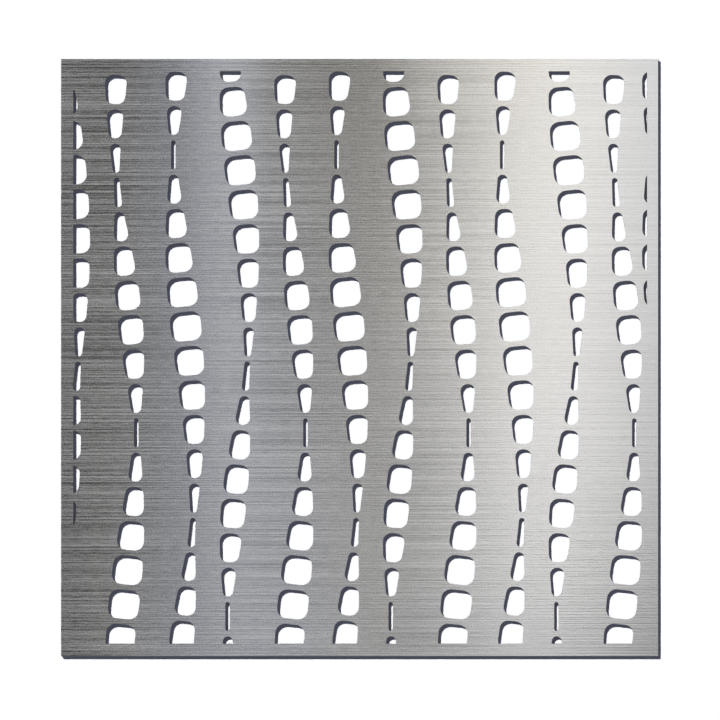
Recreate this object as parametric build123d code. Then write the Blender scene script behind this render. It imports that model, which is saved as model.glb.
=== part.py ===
from build123d import *
import os
from itertools import accumulate
from math import acos, ceil, cos, degrees, floor, pi, radians, sin, tan

# A flat square of brushed steel sheet, cut through with upright columns of rounded openings.
# All the columns share one profile: as it runs down the sheet, a column sways from side to side
# and swells from a slot to a wide part, narrows to a neck, swells again and closes to a slot.
# Millimetres. X runs across the sheet, Y up the columns, Z through the thickness.
# The origin is the middle of the underside.

# The blank, and the plain margin that it keeps round the openings
SHEET_WIDTH = 600.0
SHEET_LENGTH = 600.0
THICKNESS = 3.0
MARGIN = 12.3
RIGHT_MARGIN = 11.0

# One opening: a four-sided cell with round corners, between two crossbars.
# Each corner is cut in short flats that stay within CORNER_TOLERANCE of its arc.
ROW_PITCH = 34.5
CROSSBAR = 5.4
LEAST_CORNER_RADIUS = 4.5
CORNER_RADIUS_GROWTH = 0.17
LEAST_STRAIGHT = 0.3
CORNER_TOLERANCE = 0.18
NARROWEST_CUT = 1.5

# The column profile, with places in rows counted down from the slot
PROFILE_ROWS = 18
SLOT_WIDTH = 4.5
WIDE_ROW = 4.65
WIDE_WIDTH = 31.0
NECK_ROW = 10.9
NECK_WIDTH = 3.7
BROAD_ROW = 14.6
BROAD_WIDTH = 25.6
SWELL_POWER = 1.12
SWAY = 10.8

# The columns stand in groups of three, and the third of a group is a mirror image.
# A column's X is its place in the group, and its slot's Y is above the middle of the sheet.
FIRST_GROUP_X = -346.5
GROUP_STEPS = (170.0, 164.0, 166.5, 148.5)
SECOND_COLUMN_X = 54.5
THIRD_COLUMN_X = 111.4
FIRST_SLOT_Y = 203.7
SECOND_SLOT_Y = -260.3
THIRD_SLOT_Y = -75.7

OPENING_ROWS = (ROW_PITCH - CROSSBAR) / ROW_PITCH


def swell(pinch_row, pinch_width, belly_row, belly_width, row):
    """Width between a pinch and a belly: a quarter sine wave raised to SWELL_POWER."""
    share = sin(pi / 2 * (row - pinch_row) / (belly_row - pinch_row)) ** SWELL_POWER
    return pinch_width + (belly_width - pinch_width) * share


def column_width(row):
    """Width of the column at this row, or at a part of a row."""
    row = row % PROFILE_ROWS
    if row < WIDE_ROW:
        return swell(0, SLOT_WIDTH, WIDE_ROW, WIDE_WIDTH, row)
    if row < NECK_ROW:
        return swell(NECK_ROW, NECK_WIDTH, WIDE_ROW, WIDE_WIDTH, row)
    if row < BROAD_ROW:
        return swell(NECK_ROW, NECK_WIDTH, BROAD_ROW, BROAD_WIDTH, row)
    return swell(PROFILE_ROWS, SLOT_WIDTH, BROAD_ROW, BROAD_WIDTH, row)


def cell_corners(row):
    """Sharp corners about the column's axis and the row's middle, clockwise from the top left.

    The top and bottom edges are centred on the sway, a cosine wave, and are square to it.
    """
    corners = []
    for end in (-OPENING_ROWS / 2, OPENING_ROWS / 2):
        turn = 2 * pi * (row + end) / PROFILE_ROWS
        lean = SWAY * sin(turn) * 2 * pi / (PROFILE_ROWS * ROW_PITCH)
        half_width = (SLOT_WIDTH if row == 0 else column_width(row + end)) / 2
        for side in (-half_width, half_width):
            corners.append(Vector(side - SWAY * cos(turn), side * lean - end * ROW_PITCH))
    top_left, top_right, bottom_left, bottom_right = corners
    return [top_left, top_right, bottom_right, bottom_left]


def round_corner(before, corner, after):
    """Points along a corner's arc, whose radius grows with the shorter of its two sides."""
    to_before, to_after = before - corner, after - corner
    side = min(to_before.length, to_after.length)
    half_angle = radians(to_before.get_angle(to_after)) / 2
    largest_radius = (side - LEAST_STRAIGHT) / 2 * tan(half_angle)
    radius = min(LEAST_CORNER_RADIUS + CORNER_RADIUS_GROWTH * side, largest_radius)
    inward = (to_before.normalized() + to_after.normalized()).normalized()
    centre = corner + inward * (radius / sin(half_angle))
    spoke = corner + to_before.normalized() * (radius / tan(half_angle)) - centre
    sweep = pi - 2 * half_angle
    flats = ceil(sweep / (2 * acos(1 - CORNER_TOLERANCE / radius)))
    turns = [-degrees(sweep) * flat / flats for flat in range(flats + 1)]
    return [centre + spoke.rotate(Axis.Z, turn) for turn in turns]


def opening(row, hand):
    """One opening as a face about its column's axis; a hand of -1 is the mirror image."""
    corners = cell_corners(row)
    points = []
    for before, corner, after in zip(corners[-1:] + corners, corners, corners[1:] + corners):
        points += round_corner(before, corner, after)
    return Polygon(*[(hand * point.X, point.Y) for point in points], align=None)


def columns():
    """Axis X, slot Y and hand of every column; the group steps repeat past both sides."""
    lap = sum(GROUP_STEPS)
    laps = ceil(SHEET_WIDTH / lap)
    for start in range(-laps, laps + 1):
        for step in (0, *accumulate(GROUP_STEPS[:-1])):
            x = FIRST_GROUP_X + start * lap + step
            yield x, FIRST_SLOT_Y, 1
            yield x + SECOND_COLUMN_X, SECOND_SLOT_Y, 1
            yield x + THIRD_COLUMN_X, THIRD_SLOT_Y, -1


def openings():
    """Every opening, cut off straight where it would run into the margin."""
    field_width = SHEET_WIDTH - MARGIN - RIGHT_MARGIN
    field = Pos(X=(MARGIN - RIGHT_MARGIN) / 2) * Rectangle(field_width, SHEET_LENGTH - 2 * MARGIN)
    shapes = {(row, hand): opening(row, hand) for row in range(PROFILE_ROWS) for hand in (1, -1)}
    cuts = []
    for x, slot_y, hand in columns():
        if abs(x) > SHEET_WIDTH / 2 + SWAY + max(WIDE_WIDTH, BROAD_WIDTH):
            continue
        first_row = ceil((slot_y - SHEET_LENGTH / 2) / ROW_PITCH)
        last_row = floor((slot_y + SHEET_LENGTH / 2) / ROW_PITCH)
        for row in range(first_row, last_row + 1):
            cut = Pos(x, slot_y - row * ROW_PITCH) * shapes[row % PROFILE_ROWS, hand] & field
            size = cut.bounding_box().size if cut else Vector()
            if min(size.X, size.Y) >= NARROWEST_CUT:
                cuts.append(cut)
    return cuts


def perforated_sheet():
    """The blank less all its openings, raised to its thickness."""
    return extrude(Rectangle(SHEET_WIDTH, SHEET_LENGTH) - openings(), THICKNESS)


os.makedirs("parts", exist_ok=True)
export_step(perforated_sheet(), "parts/perforated_sheet.step")
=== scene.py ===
"""A perforated sheet of brushed steel, lying on a white floor under studio light."""

import bpy
import numpy as np
from bpy.props import FloatProperty, FloatVectorProperty, PointerProperty
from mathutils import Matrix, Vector


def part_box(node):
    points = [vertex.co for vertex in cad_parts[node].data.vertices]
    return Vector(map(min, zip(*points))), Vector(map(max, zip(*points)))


bl_info = {
    "name": "Perforated Sheet",
    "version": (1, 0, 0),
    "blender": (4, 5, 0),
    "location": "View3D > Sidebar > Sheet",
    "description": "Brushed faces, cut edges and a studio for a perforated steel sheet",
    "category": "Material",
}

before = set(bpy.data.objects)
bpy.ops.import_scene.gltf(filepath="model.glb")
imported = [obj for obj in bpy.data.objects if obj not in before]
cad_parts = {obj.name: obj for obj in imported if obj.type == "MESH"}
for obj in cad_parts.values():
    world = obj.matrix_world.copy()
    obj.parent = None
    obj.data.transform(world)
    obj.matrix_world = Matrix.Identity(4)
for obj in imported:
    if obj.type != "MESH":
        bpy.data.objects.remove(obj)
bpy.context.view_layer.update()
SHEET = "perforated_sheet"
LOW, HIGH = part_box(SHEET)
SIZE = HIGH - LOW
MIDDLE = (LOW + HIGH) / 2


# Shader building

class Signal:
    """A number on a shader wire; arithmetic on it adds Math nodes."""

    def __init__(self, shader, socket):
        self.shader = shader
        self.socket = socket

    def _math(self, operation, *values):
        node = self.shader.node("ShaderNodeMath", {"operation": operation}, dict(enumerate(values)))
        return Signal(self.shader, node.outputs[0])

    def __add__(self, other):
        return self._math("ADD", self, other)

    def __radd__(self, other):
        return self._math("ADD", other, self)

    def __sub__(self, other):
        return self._math("SUBTRACT", self, other)

    def __rsub__(self, other):
        return self._math("SUBTRACT", other, self)

    def __mul__(self, other):
        return self._math("MULTIPLY", self, other)

    def __rmul__(self, other):
        return self._math("MULTIPLY", other, self)

    def __truediv__(self, other):
        return self._math("DIVIDE", self, other)

    def __gt__(self, other):
        return self._math("GREATER_THAN", self, other)

    def __lt__(self, other):
        return self._math("LESS_THAN", self, other)


class Shader:
    """The node tree of a material or a world."""

    def __init__(self, owner):
        owner.use_nodes = True
        self.tree = owner.node_tree
        self.tree.nodes.clear()

    def node(self, kind, settings=None, inputs=None):
        """Adds a node: its settings first, then a value or a link for each socket named."""
        node = self.tree.nodes.new(kind)
        for name, value in (settings or {}).items():
            if name == "stops":
                self._set_stops(node.color_ramp, value)
            else:
                setattr(node, name, value)
        for name, value in (inputs or {}).items():
            if isinstance(value, Signal):
                value = value.socket
            if isinstance(value, bpy.types.NodeSocket):
                self.tree.links.new(value, node.inputs[name])
            else:
                node.inputs[name].default_value = value
        return node

    def _set_stops(self, ramp, stops):
        ramp.interpolation = "CARDINAL"
        for place, _ in stops[2:]:
            ramp.elements.new(place)
        for element, (place, colour) in zip(ramp.elements, stops):
            element.position = place
            element.color = (*colour, 1)

    def signals(self, socket):
        """The three parts of a vector as signals."""
        parts = self.node("ShaderNodeSeparateXYZ", inputs={0: socket})
        return [Signal(self, output) for output in parts.outputs]

    def noise(self, point, cell, place=(0, 0, 0), detail=0.0):
        """Noise about 0, whose blobs are about cell long, wide and high; place shifts it."""
        scale = [1 / length for length in cell]
        mapping = self.node("ShaderNodeMapping", inputs={"Vector": point, "Location": place, "Scale": scale})
        texture = self.node("ShaderNodeTexNoise", inputs={
            "Vector": mapping.outputs[0], "Scale": 1.0, "Detail": detail})
        return Signal(self, texture.outputs["Fac"]) - 0.5

    def mix_colours(self, share, first, second, blend="MIX"):
        """Colour socket between first and second; each may be a colour or a socket."""
        first, second = ((*c, 1) if isinstance(c, tuple) else c for c in (first, second))
        settings = {"data_type": "RGBA", "blend_type": blend}
        mix = self.node("ShaderNodeMix", settings, {0: share, 6: first, 7: second})
        return mix.outputs[2]

    def mix_numbers(self, share, first, second):
        """Number between first and second."""
        mix = self.node("ShaderNodeMix", {"data_type": "FLOAT"}, {0: share, 2: first, 3: second})
        return Signal(self, mix.outputs[0])

    def output(self, surface, kind="ShaderNodeOutputMaterial"):
        self.node(kind, inputs={"Surface": surface.outputs[0]})


# Steel

# Share of each kind of mark in the brushed grain, beside the long streaks
DASH_SHARE = 0.42
SPECK_SHARE = 0.65
SPECK_STRETCH = 1.5

# How much the grain changes the roughness of the brushed face
GRAIN_ROUGHNESS = 0.1

# Cut walls: roughness, and how much the cutting marks change it and the tone
WALL_ROUGHNESS = 0.5
STRIATION_ROUGHNESS = 0.2
STRIATION_TONE = 0.9

# Underside: size of the blotches of the mill finish, and how much they change the tone
MOTTLE_CELL = (0.02, 0.012, 1)
MOTTLE_TONE = 0.3

# A face turned up or down by more than this is the top or the underside, and any other is a wall
FLAT_FACE = 0.5

# Tints of the painted reflection bands on the brushed face
NEUTRAL = (1.0, 1.0, 1.0)
COOL = (0.98, 1.0, 1.07)
WARM = (1.03, 1.0, 0.94)

# Broad bands of tone across the brushed face, which are painted reflection of the studio light:
# the share of the width from the left, then the brightness and the tint at the top edge, and the
# same at the bottom edge
PAINTED_REFLECTION_BANDS = (
    (0.00, 0.45, NEUTRAL, 0.40, NEUTRAL),
    (0.10, 0.45, NEUTRAL, 0.55, NEUTRAL),
    (0.20, 0.60, COOL, 0.65, COOL),
    (0.28, 0.85, COOL, 0.80, COOL),
    (0.35, 0.60, NEUTRAL, 0.80, COOL),
    (0.50, 0.45, WARM, 0.70, NEUTRAL),
    (0.60, 0.60, WARM, 0.65, NEUTRAL),
    (0.80, 0.80, WARM, 0.75, NEUTRAL),
    (1.00, 0.65, NEUTRAL, 0.45, NEUTRAL),
)


class SteelFinish(bpy.types.PropertyGroup):
    """Finish of the brushed faces and of the cut walls."""

    # Tint of the painted reflection bands
    tint: FloatVectorProperty(
        name="Tint", description="Colour that the bands of tone are multiplied by",
        subtype="COLOR", default=(1.0, 1.0, 1.0), min=0, max=1)
    roughness: FloatProperty(
        name="Roughness", description="Roughness of the brushed face", default=0.35, min=0, max=1)
    streak_width: FloatProperty(
        name="Streak Width", description="Width of one line of the brushing", default=0.001, unit="LENGTH")
    streak_length: FloatProperty(
        name="Streak Length", description="Length of a long line", default=0.17, unit="LENGTH")
    dash_length: FloatProperty(
        name="Dash Length", description="Length of a short line", default=0.01, unit="LENGTH")
    scratch_depth: FloatProperty(
        name="Scratch Depth", description="Depth of the brushing", default=0.00017, unit="LENGTH")
    grain_tone: FloatProperty(
        name="Grain Tone", description="Brightness that the brushing adds or takes away at the left edge",
        default=0.88)
    grain_fade: FloatProperty(
        name="Grain Fade", description="Share of the grain tone that is lost at the right edge",
        default=0.76)
    # Cut walls: partly the darker tone of cut edges, partly painted shade in the dark slate of the sheet's
    # shadow
    cut_and_shade_colour: FloatVectorProperty(
        name="Cut Wall", description="Colour of the walls left by cutting",
        subtype="COLOR", default=(0.10, 0.105, 0.13), min=0, max=1)
    striation_pitch: FloatProperty(
        name="Striation Pitch", description="Distance between the cutting marks on a wall",
        default=0.0004, unit="LENGTH")
    underside_colour: FloatVectorProperty(
        name="Underside", description="Colour of the unbrushed mill finish below",
        subtype="COLOR", default=(0.50, 0.50, 0.50), min=0, max=1)


def painted_reflection_bands(shader, share, rise, tint):
    """Colour socket of the face: the painted reflection bands of both edges, mixed by the place along the
    sheet.
    """
    top, bottom = [], []
    for place, top_tone, top_tint, bottom_tone, bottom_tint in PAINTED_REFLECTION_BANDS:
        top.append((place, tuple(top_tone * part for part in top_tint)))
        bottom.append((place, tuple(bottom_tone * part for part in bottom_tint)))
    ramps = [shader.node("ShaderNodeValToRGB", {"stops": stops}, {"Fac": share}).outputs[0]
             for stops in (bottom, top)]
    bands = shader.mix_colours(rise, *ramps)
    return shader.mix_colours(1.0, bands, tuple(tint), "MULTIPLY")


def brushed_steel(finish):
    """Material of the whole sheet: a brushed top with painted reflection bands, a mill finish below and cut
    walls between, darkened partly with painted shade.
    """
    material = bpy.data.materials.new("brushed_steel")
    shader = Shader(material)
    texture = shader.node("ShaderNodeTexCoord")
    point = texture.outputs["Object"]
    across, along, _ = shader.signals(point)
    facing = shader.signals(texture.outputs["Normal"])[2]
    is_top = facing > FLAT_FACE
    is_underside = facing < -FLAT_FACE

    width, depth = finish.streak_width, finish.scratch_depth
    streak = shader.noise(point, (finish.streak_length, width, 1), (3, 7, 0))
    dash = shader.noise(point, (finish.dash_length, width, 1))
    speck = shader.noise(point, (width * SPECK_STRETCH, width, 1), (11, 5, 0))
    grain = streak + dash * DASH_SHARE + speck * SPECK_SHARE

    share = (across - LOW.x) / SIZE.x
    rise = (along - LOW.y) / SIZE.y
    # Painted reflection: the studio's reflected light is painted into the face's colour as bands of tone
    tone = painted_reflection_bands(shader, share, rise, finish.tint)
    marks = grain * (1 - share * finish.grain_fade) * finish.grain_tone
    top = shader.mix_colours(1.0, tone, grey(shader, marks), "ADD")

    pitch = finish.striation_pitch
    striation = shader.noise(point, (pitch, pitch, SIZE.z * 4), detail=1.0)
    marked = grey(shader, striation * STRIATION_TONE + 1)
    # Cut walls darkened partly as cut edges and partly with painted shade
    wall = shader.mix_colours(1.0, tuple(finish.cut_and_shade_colour), marked, "MULTIPLY")
    mottle = shader.noise(point, MOTTLE_CELL, detail=4.0)
    blotched = grey(shader, mottle * MOTTLE_TONE + 1)
    mill = shader.mix_colours(1.0, tuple(finish.underside_colour), blotched, "MULTIPLY")

    colour = shader.mix_colours(is_top, wall, top)
    colour = shader.mix_colours(is_underside, colour, mill)
    wall_roughness = striation * STRIATION_ROUGHNESS + WALL_ROUGHNESS
    face_roughness = grain * GRAIN_ROUGHNESS + finish.roughness
    roughness = shader.mix_numbers(is_top, wall_roughness, face_roughness)
    relief = shader.mix_numbers(is_top, striation, grain)
    bump = shader.node("ShaderNodeBump", inputs={"Strength": 1.0, "Distance": depth, "Height": relief})
    surface = shader.node("ShaderNodeBsdfPrincipled", inputs={
        "Base Color": colour, "Metallic": 1.0, "Roughness": roughness, "Normal": bump.outputs[0]})
    shader.output(surface)
    return material


def grey(shader, value):
    """Colour socket whose three parts are one signal."""
    return shader.node("ShaderNodeCombineXYZ", inputs={0: value, 1: value, 2: value}).outputs[0]


class SHEET_OT_finish_steel(bpy.types.Operator):
    """Give the sheet its brushed faces and cut walls"""

    bl_idname = "sheet.finish_steel"
    bl_label = "Finish Steel"

    def execute(self, context):
        material = brushed_steel(context.scene.sheet_finish)
        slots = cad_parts[SHEET].data.materials
        slots.clear()
        slots.append(material)
        return {"FINISHED"}


# Studio

# Gap that keeps the floor's face clear of the sheet's underside
FLOOR_GAP = 0.00002

# Distance of the key lamp, which has no effect on its parallel light
KEY_DISTANCE = 5.0

# Height of a direction where the backdrop starts to turn from horizon to ceiling, and where it ends
HORIZON_TOP = 0.1
CEILING_START = 0.9


class StudioSettings(bpy.types.PropertyGroup):
    """Floor, lamps, backdrop and camera."""

    floor_width: FloatProperty(
        name="Floor Width", description="Side of the square floor", default=16.0, unit="LENGTH")
    floor_colour: FloatVectorProperty(
        name="Floor", description="Colour of the floor",
        subtype="COLOR", default=(0.95, 0.95, 0.95), min=0, max=1)
    key_strength: FloatProperty(
        name="Key Strength", description="Strength of the key lamp, in watts per square metre", default=5.75)
    shadow_reach: FloatVectorProperty(
        name="Shadow Reach", description="How far the shadow of the sheet's face falls, right and down",
        size=2, default=(0.0030, -0.0036), unit="LENGTH")
    fill_colour: FloatVectorProperty(
        name="Fill", description="Light that fills the shadows",
        subtype="COLOR", default=(0.072, 0.077, 0.110))
    horizon_colour: FloatVectorProperty(
        name="Horizon", description="Backdrop near the floor", subtype="COLOR", default=(0.95, 0.95, 0.95))
    ceiling_colour: FloatVectorProperty(
        name="Ceiling", description="Backdrop overhead, seen in the steel",
        subtype="COLOR", default=(0.36, 0.36, 0.36))
    softbox_power: FloatProperty(
        name="Softbox Power", description="Power of the softbox whose reflection the steel shows",
        default=1.35, unit="POWER")
    softbox_place: FloatVectorProperty(
        name="Softbox Place", description="Middle of the softbox",
        size=3, default=(0.38, 0.15, 0.7), unit="LENGTH")
    softbox_size: FloatVectorProperty(
        name="Softbox Size", description="Width and length of the softbox",
        size=2, default=(0.5, 1.0), unit="LENGTH")
    view_width: FloatProperty(
        name="View Width", description="Width of the picture at the sheet's face",
        default=0.7236, unit="LENGTH")
    view_centre: FloatVectorProperty(
        name="View Centre", description="Point of the sheet under the middle of the picture",
        size=2, default=(0.00045, -0.00254), unit="LENGTH")
    lens: FloatProperty(name="Lens", description="Focal length of the camera, in millimetres", default=200.0)


def flat_surface(name, width, height):
    """Square at one height: x = width * (u - 1/2), y = width * (v - 1/2), for u and v from 0 to 1."""
    u, v = np.meshgrid(np.linspace(0, 1, 2), np.linspace(0, 1, 2))
    points = np.stack([width * (u - 0.5), width * (v - 0.5), np.full_like(u, height)], axis=-1)
    mesh = bpy.data.meshes.new(name)
    mesh.from_pydata(points.reshape(-1, 3), [], [(0, 1, 3, 2)])
    surface = bpy.data.objects.new(name, mesh)
    bpy.context.scene.collection.objects.link(surface)
    return surface


def add_floor(studio):
    """White floor just under the sheet."""
    floor = flat_surface("floor", studio.floor_width, LOW.z - FLOOR_GAP)
    material = bpy.data.materials.new("floor_white")
    shader = Shader(material)
    surface = shader.node("ShaderNodeBsdfDiffuse", inputs={"Color": (*studio.floor_colour, 1)})
    shader.output(surface)
    floor.data.materials.append(material)


def add_lamp(name, kind, place, aim, **settings):
    """Lamp at a place, turned towards another point."""
    lamp = bpy.data.objects.new(name, bpy.data.lights.new(name, kind))
    lamp.location = place
    lamp.rotation_euler = (Vector(aim) - Vector(place)).to_track_quat("-Z", "Y").to_euler()
    for setting, value in settings.items():
        setattr(lamp.data, setting, value)
    bpy.context.scene.collection.objects.link(lamp)
    return lamp


def add_lamps(studio):
    """Key lamp for crisp shadows, without its glare, and a softbox that only the steel reflects."""
    reach = Vector((*studio.shadow_reach, -SIZE.z)).normalized()
    key = add_lamp("key", "SUN", MIDDLE - reach * KEY_DISTANCE, MIDDLE, energy=studio.key_strength, angle=0.0)
    key.visible_glossy = False
    place = Vector(studio.softbox_place)
    width, length = studio.softbox_size
    softbox = add_lamp("softbox", "AREA", place, (place.x, place.y, 0), energy=studio.softbox_power,
                       shape="RECTANGLE", size=width, size_y=length)
    softbox.visible_diffuse = False
    softbox.visible_camera = False


def add_backdrop(studio):
    """World: a pale studio for what the camera and the steel see, and a dim fill for the rest."""
    world = bpy.data.worlds.new("studio")
    bpy.context.scene.world = world
    shader = Shader(world)
    direction = shader.node("ShaderNodeTexCoord").outputs["Generated"]
    height = shader.signals(direction)[2]
    ceiling = shader.node("ShaderNodeMapRange", {"interpolation_type": "SMOOTHSTEP"},
                          {"Value": height, "From Min": HORIZON_TOP, "From Max": CEILING_START}).outputs[0]
    studio_colour = shader.mix_colours(ceiling, tuple(studio.horizon_colour), tuple(studio.ceiling_colour))
    path = shader.node("ShaderNodeLightPath")
    seen = sum((Signal(shader, path.outputs[f"Is {ray} Ray"]) for ray in ("Glossy", "Transmission")),
               Signal(shader, path.outputs["Is Camera Ray"]))
    colour = shader.mix_colours(seen, tuple(studio.fill_colour), studio_colour)
    background = shader.node("ShaderNodeBackground", inputs={"Color": colour, "Strength": 1.0})
    shader.output(background, "ShaderNodeOutputWorld")


def add_camera(studio):
    """Camera straight above the sheet, with the sheet's Y upright in the picture."""
    data = bpy.data.cameras.new("camera")
    data.lens = studio.lens
    data.clip_end = 100.0
    camera = bpy.data.objects.new("camera", data)
    distance = studio.view_width * data.lens / data.sensor_width
    camera.location = (*studio.view_centre, HIGH.z + distance)
    bpy.context.scene.collection.objects.link(camera)
    bpy.context.scene.camera = camera


class SHEET_OT_build_studio(bpy.types.Operator):
    """Add the floor, the lamps, the backdrop and the camera"""

    bl_idname = "sheet.build_studio"
    bl_label = "Build Studio"

    def execute(self, context):
        studio = context.scene.sheet_studio
        add_floor(studio)
        add_lamps(studio)
        add_backdrop(studio)
        add_camera(studio)
        context.scene.view_settings.view_transform = "Standard"
        return {"FINISHED"}


# Add-on

class SHEET_PT_sheet(bpy.types.Panel):
    """Settings and steps of the perforated sheet"""

    bl_label = "Perforated Sheet"
    bl_space_type = "VIEW_3D"
    bl_region_type = "UI"
    bl_category = "Sheet"

    def draw(self, context):
        for group, operator in ((context.scene.sheet_finish, "sheet.finish_steel"),
                                (context.scene.sheet_studio, "sheet.build_studio")):
            box = self.layout.box()
            for name in group.__annotations__:
                box.prop(group, name)
            box.operator(operator)


CLASSES = (SteelFinish, StudioSettings, SHEET_OT_finish_steel, SHEET_OT_build_studio, SHEET_PT_sheet)


def register():
    for cls in CLASSES:
        bpy.utils.register_class(cls)
    bpy.types.Scene.sheet_finish = PointerProperty(type=SteelFinish)
    bpy.types.Scene.sheet_studio = PointerProperty(type=StudioSettings)


def unregister():
    del bpy.types.Scene.sheet_studio
    del bpy.types.Scene.sheet_finish
    for cls in reversed(CLASSES):
        bpy.utils.unregister_class(cls)


def main():
    """Registers the classes, dresses the sheet and builds the studio."""
    register()
    bpy.ops.sheet.finish_steel()
    bpy.ops.sheet.build_studio()


if __name__ == "__main__":
    main()
